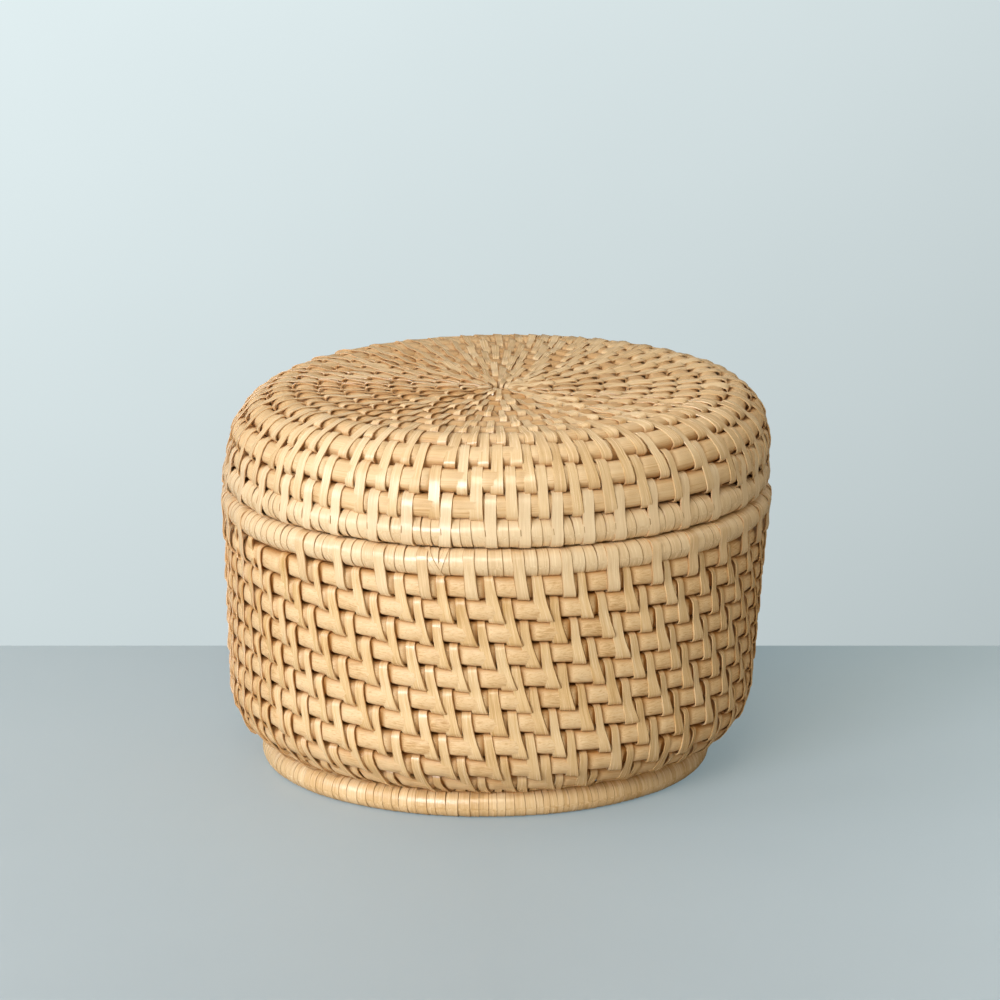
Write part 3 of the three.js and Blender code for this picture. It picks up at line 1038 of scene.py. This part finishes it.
# Lid: its rim's winding and those of the two seat hoops
lidRimBand = {**plainBand, "cane": 7.6 * mm, "width": 4.4 * mm, "slant": 1.0 * mm, "tiesAside": 1.5 * mm,
              "fresh": 0.4, "seed": 7}
upperBand = {**plainBand, "cane": 5.4 * mm, "width": 4.4 * mm, "slant": 0.5 * mm, "fresh": 0.2, "seed": 8}
lowerBand = {**upperBand, "seed": 9}

lidTies = tieRows(lidPlan, lidRim)
lidRimRows = wrapRows(lidRim, lidRimBand, lidTies)
makeCane("coiledLid", "lid_coil", "lid", lidPlan, lidProfile, lidTies, lidHand)
makeStitches("lidStitches", "lid", stitchRows(lidPlan), lidPlan, lidProfile, lidHand)
makeTies("lidRimTies", "lid", lidTies, lidPlan, lidProfile, lidHand)
makeHoop("lidRimHoop", "lid_rim_hoop", "lid", lidRim, lidRimBand["cane"], lidHand)
makeWraps("lidRimWraps", "lid_rim_winding", "lid", lidRim, lidRimBand, lidRimRows, lidHand)
for name, node, hoop, band in (("seatUpper", "seat_upper", seatUpper, upperBand),
                               ("seatLower", "seat_lower", seatLower, lowerBand)):
    makeHoop(name + "Hoop", node + "_hoop", "lid", hoop, band["cane"], lidHand)
    makeWraps(name + "Wraps", node + "_winding", "lid", hoop, band, wrapRows(hoop, band), lidHand)
print("lid made")


# Floor and wall behind, pale blue-grey to the camera. What they throw back on the object is warmer.
stage = {"wallBehind": 0.145, "wide": 4.0, "deep": 4.0, "tall": 3.0, "rough": 0.55,
         "floor": (0.445, 0.475, 0.51), "floorGlow": (0.45, 0.64, 0.71), "glowShare": 0.3,
         "floorBounce": (0.47, 0.435, 0.36),
         "wall": (0.88, 1.0, 1.02), "bounceLow": (0.32, 0.27, 0.21), "bounceHigh": (0.95, 0.90, 0.85)}
# Painted light: how bright the backdrop and the floor are, by place
wallLight = {"right": -0.40, "up": 0.63, "foot": 0.625, "least": 0.42, "most": 0.87}
floorLight = {"back": 0.42, "middle": 1.08, "least": 0.8, "most": 1.15, "sides": 0.68, "mostAtSides": 0.22,
              "right": 0.32, "mostAtRight": 0.08}


def brightOnWall(tree, x, z):
    bright = x * wallLight["right"] + z * wallLight["up"] + wallLight["foot"]
    return tree.within(bright, wallLight["least"], wallLight["most"])


def brightOnFloor(tree, x, y):
    bright = y * floorLight["back"] + floorLight["middle"]
    bright = tree.within(bright, floorLight["least"], floorLight["most"])
    sides = tree.maths("ABSOLUTE", x) * floorLight["sides"]
    bright = bright + tree.maths("MINIMUM", sides, floorLight["mostAtSides"])
    return bright + tree.within(x * floorLight["right"], 0.0, floorLight["mostAtRight"])


def stagePlane(name, corners):
    mesh = newMesh(name, corners, [(0, 1, 2, 3)])
    thing = bpy.data.objects.new(name, mesh)
    bpy.context.scene.collection.objects.link(thing)
    material, tree, shader = newMaterial(name)
    shader.inputs["Roughness"].default_value = stage["rough"]
    mesh.materials.append(material)
    place = tree.out(tree.add("ShaderNodeTexCoord"), "Object")
    cloud = tree.noise(place, 7.0, 4.0) * 0.06 + 0.97
    sheet = next(n for n in tree.nodeTree.nodes if n.type == "OUTPUT_MATERIAL").inputs[0]
    byCamera = tree.out(tree.add("ShaderNodeLightPath"), "Is Camera Ray")
    return tree, shader, sheet, byCamera, cloud, tree.split(place)


def tinted(tree, colour, bright):
    return tree.vector(*[bright * part for part in colour])


def glow(tree, colour):
    return tree.add("ShaderNodeEmission", {"Color": colour}).outputs[0]


# Painted light on the floor: for the camera it partly glows, which lightens the object's shadow on it, and
# it is brighter towards the back, the sides and the right. Other rays see a warmer colour.
def makeFloor():
    wide, deep = stage["wide"], stage["deep"]
    tree, shader, sheet, byCamera, cloud, (x, y, _) = stagePlane(
        "floor", [(-wide, -deep, 0), (wide, -deep, 0), (wide, deep, 0), (-wide, deep, 0)])
    bright = brightOnFloor(tree, x, y) * cloud
    shade = tinted(tree, stage["floor"], bright)
    tree.feed(shader.inputs["Base Color"], tree.mix(byCamera, (*stage["floorBounce"], 1), shade))
    light = glow(tree, tinted(tree, stage["floorGlow"], bright))
    tree.feed(sheet, tree.mixShader(byCamera * stage["glowShare"], shader.outputs[0], light))


# The backdrop glows for the camera as painted light, darker to the right and lighter upwards, with no
# shadow on it, and from behind it isn't there
def makeBackdrop():
    wide, behind, tall = stage["wide"], stage["wallBehind"], stage["tall"]
    tree, shader, sheet, byCamera, cloud, (x, _, z) = stagePlane(
        "backdrop", [(-wide, behind, 0), (wide, behind, 0), (wide, behind, tall), (-wide, behind, tall)])
    light = glow(tree, tinted(tree, stage["wall"], brightOnWall(tree, x, z) * cloud))
    high = tree.within(z * 2.5 - 0.4)
    bounce = [tree.blend(low, top, high) for low, top in zip(stage["bounceLow"], stage["bounceHigh"])]
    tree.feed(shader.inputs["Base Color"], tree.vector(*bounce))
    front = tree.mixShader(byCamera, shader.outputs[0], light)
    fromBehind = tree.out(tree.add("ShaderNodeNewGeometry"), "Backfacing")
    clear = tree.add("ShaderNodeBsdfTransparent").outputs[0]
    tree.feed(sheet, tree.mixShader(fromBehind, front, clear))


makeFloor()
makeBackdrop()


# Light: two soft windows on the left, a warmer lamp high in front, and a pale room, dimmer to the right
lamps = {
    "window": {"place": (-1.4, -2.1, 0.95), "size": 1.1, "power": 35.5, "colour": (0.98, 1.0, 1.05)},
    "sideWindow": {"place": (-2.1, -0.5, 0.8), "size": 0.9, "power": 9, "colour": (0.98, 1.0, 1.05)},
    "front": {"place": (-0.3, -2.1, 1.7), "size": 0.9, "power": 16, "colour": (1.0, 0.92, 0.73)},
}
lampsAimAt = Vector((0, 0, 0.07))
for name, lamp in lamps.items():
    light = bpy.data.lights.new(name, "AREA")
    light.size = lamp["size"]
    light.energy = lamp["power"]
    light.color = lamp["colour"]
    holder = bpy.data.objects.new(name, light)
    holder.location = lamp["place"]
    holder.rotation_euler = (Vector(lamp["place"]) - lampsAimAt).to_track_quat("Z", "Y").to_euler()
    bpy.context.scene.collection.objects.link(holder)

world = bpy.data.worlds.new("room")
world.use_nodes = True
room = {"green": 0.955, "blue": 0.86, "warmerRight": 0.2, "greenShare": 0.35, "strength": 0.42,
        "dimmerRight": 0.2}
air = world.node_tree.nodes["Background"]
around = Tree(world.node_tree)
toRight, _, _ = around.split(around.out(around.add("ShaderNodeTexCoord"), "Generated"))
warmth = toRight * room["warmerRight"]
green = room["green"] - warmth * room["greenShare"]
around.feed(air.inputs[0], around.vector(1.0, green, room["blue"] - warmth))
around.feed(air.inputs[1], room["strength"] - toRight * room["dimmerRight"])
bpy.context.scene.world = world
print("stage and light made")
